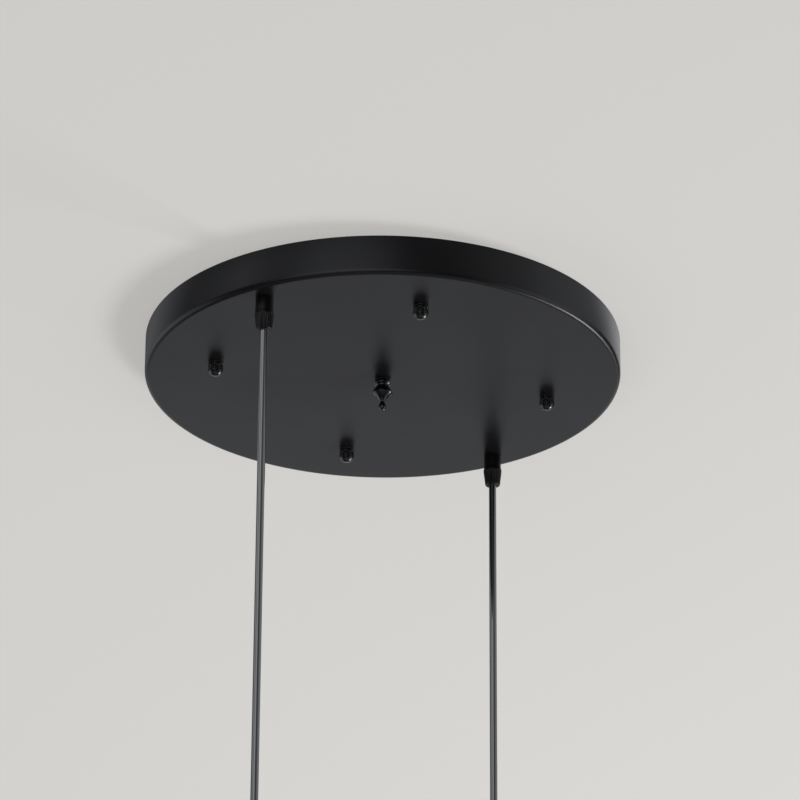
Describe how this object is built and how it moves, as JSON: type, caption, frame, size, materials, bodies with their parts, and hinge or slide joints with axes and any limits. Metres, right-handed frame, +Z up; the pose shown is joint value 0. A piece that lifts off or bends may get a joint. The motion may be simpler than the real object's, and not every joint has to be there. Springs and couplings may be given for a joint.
{
  "type": "light fixture ceiling canopy",
  "caption": "Shallow round ceiling canopy for pendant lights, held by knurled cap nuts and a turned finial, with cords hanging from screw grips to lamp holders.",
  "frame": {"origin": "On the ceiling plane, at the middle of the round pan, where the bracket's two bars cross.", "axes": "+Z points up into the ceiling. +X runs along the upper bracket bar to the right-hand cap nut, and +Y along the lower bar to the rear cap nut. The cords hang at 45 and 225 degrees."},
  "size_m": [0.3, 0.3, 0.44],
  "materials": {
    "satin_black_paint": "satin",
    "gloss_black_enamel": "gloss",
    "black_fibre": "matte",
    "zinc_plated_steel": "satin",
    "tinned_copper": "satin",
    "natural_nylon": "satin",
    "brass": "satin",
    "green_yellow_insulation": "gloss",
    "brown_insulation": "gloss",
    "blue_insulation": "gloss",
    "black_rubber": "matte",
    "black_nylon": "satin",
    "black_cord_sheath": "gloss",
    "black_moulding": "satin",
    "pale_ceramic": "satin"
  },
  "bodies": {
    "canopy": {"block_screw": "zinc_plated_steel", "bracket_bar_x": "zinc_plated_steel", "bracket_bar_y": "zinc_plated_steel", "canopy_pan": "satin_black_paint", "earth_ring": "tinned_copper", "earth_screw": "zinc_plated_steel", "earth_washer": "zinc_plated_steel", "earth_wire": "green_yellow_insulation", "fixing_screws": "zinc_plated_steel", "left_blue_wire": "blue_insulation", "left_brown_wire": "brown_insulation", "left_cord": "black_cord_sheath", "left_cord_inside": "black_cord_sheath", "left_grip_body": "black_nylon", "left_grip_lock_nut": "black_nylon", "left_grip_washer": "black_fibre", "left_holder_cap": "black_moulding", "left_holder_contact": "brass", "left_holder_core": "pale_ceramic", "left_holder_gland": "black_nylon", "left_holder_gland_screw": "zinc_plated_steel", "left_holder_skirt": "black_moulding", "lock_nuts": "zinc_plated_steel", "right_blue_wire": "blue_insulation", "right_brown_wire": "brown_insulation", "right_cord": "black_cord_sheath", "right_cord_inside": "black_cord_sheath", "right_grip_body": "black_nylon", "right_grip_lock_nut": "black_nylon", "right_grip_washer": "black_fibre", "right_holder_cap": "black_moulding", "right_holder_contact": "brass", "right_holder_core": "pale_ceramic", "right_holder_gland": "black_nylon", "right_holder_gland_screw": "zinc_plated_steel", "right_holder_skirt": "black_moulding", "terminal_barrels": "brass", "terminal_block": "natural_nylon", "terminal_screws": "zinc_plated_steel"},
    "cap_washer_right": {"cap_washer_right": "black_fibre"},
    "cap_nut_right": {"cap_nut_right": "gloss_black_enamel"},
    "cap_washer_rear": {"cap_washer_rear": "black_fibre"},
    "cap_nut_rear": {"cap_nut_rear": "gloss_black_enamel"},
    "cap_washer_left": {"cap_washer_left": "black_fibre"},
    "cap_nut_left": {"cap_nut_left": "gloss_black_enamel"},
    "cap_washer_front": {"cap_washer_front": "black_fibre"},
    "cap_nut_front": {"cap_nut_front": "gloss_black_enamel"},
    "finial_washer": {"finial_washer": "black_fibre"},
    "finial": {"finial": "gloss_black_enamel"},
    "right_grip_seal": {"right_grip_seal": "black_rubber"},
    "right_clamp_nut": {"right_clamp_nut": "black_nylon"},
    "left_grip_seal": {"left_grip_seal": "black_rubber"},
    "left_clamp_nut": {"left_clamp_nut": "black_nylon"}
  },
  "joints": [
    {"name": "cap_nut_right_advance", "type": "slide", "parent": "canopy", "child": "cap_washer_right", "axis": [0, 0, -1], "range_m": [0, 0.0042]},
    {"name": "cap_nut_right_turn", "type": "hinge", "parent": "cap_washer_right", "child": "cap_nut_right", "pos_m": [0.107, 0, -0.0255], "axis": [0, 0, -1], "range_deg": [0, 2160]},
    {"name": "cap_nut_rear_advance", "type": "slide", "parent": "canopy", "child": "cap_washer_rear", "axis": [0, 0, -1], "range_m": [0, 0.0042]},
    {"name": "cap_nut_rear_turn", "type": "hinge", "parent": "cap_washer_rear", "child": "cap_nut_rear", "pos_m": [0, 0.107, -0.0255], "axis": [0, 0, -1], "range_deg": [0, 2160]},
    {"name": "cap_nut_left_advance", "type": "slide", "parent": "canopy", "child": "cap_washer_left", "axis": [0, 0, -1], "range_m": [0, 0.0042]},
    {"name": "cap_nut_left_turn", "type": "hinge", "parent": "cap_washer_left", "child": "cap_nut_left", "pos_m": [-0.107, 0, -0.0255], "axis": [0, 0, -1], "range_deg": [0, 2160]},
    {"name": "cap_nut_front_advance", "type": "slide", "parent": "canopy", "child": "cap_washer_front", "axis": [0, 0, -1], "range_m": [0, 0.0042]},
    {"name": "cap_nut_front_turn", "type": "hinge", "parent": "cap_washer_front", "child": "cap_nut_front", "pos_m": [0, -0.107, -0.0255], "axis": [0, 0, -1], "range_deg": [0, 2160]},
    {"name": "finial_advance", "type": "slide", "parent": "canopy", "child": "finial_washer", "axis": [0, 0, -1], "range_m": [0, 0.0042]},
    {"name": "finial_turn", "type": "hinge", "parent": "finial_washer", "child": "finial", "pos_m": [0, 0, -0.0255], "axis": [0, 0, -1], "range_deg": [0, 2160]},
    {"name": "right_clamp_nut_advance", "type": "slide", "parent": "canopy", "child": "right_grip_seal", "axis": [0, 0, -1], "range_m": [0, 0.005]},
    {"name": "right_clamp_nut_turn", "type": "hinge", "parent": "right_grip_seal", "child": "right_clamp_nut", "pos_m": [0.09475, 0.09475, -0.036], "axis": [0, 0, -1], "range_deg": [0, 1800]},
    {"name": "left_clamp_nut_advance", "type": "slide", "parent": "canopy", "child": "left_grip_seal", "axis": [0, 0, -1], "range_m": [0, 0.005]},
    {"name": "left_clamp_nut_turn", "type": "hinge", "parent": "left_grip_seal", "child": "left_clamp_nut", "pos_m": [-0.09475, -0.09475, -0.036], "axis": [0, 0, -1], "range_deg": [0, 1800]}
  ],
  "couplings": [
    {"joint": "cap_nut_right_turn", "follows": "cap_nut_right_advance", "rad_per_m": 8976},
    {"joint": "cap_nut_rear_turn", "follows": "cap_nut_rear_advance", "rad_per_m": 8976},
    {"joint": "cap_nut_left_turn", "follows": "cap_nut_left_advance", "rad_per_m": 8976},
    {"joint": "cap_nut_front_turn", "follows": "cap_nut_front_advance", "rad_per_m": 8976},
    {"joint": "finial_turn", "follows": "finial_advance", "rad_per_m": 8976},
    {"joint": "right_clamp_nut_turn", "follows": "right_clamp_nut_advance", "rad_per_m": 6283.2},
    {"joint": "left_clamp_nut_turn", "follows": "left_clamp_nut_advance", "rad_per_m": 6283.2}
  ]
}
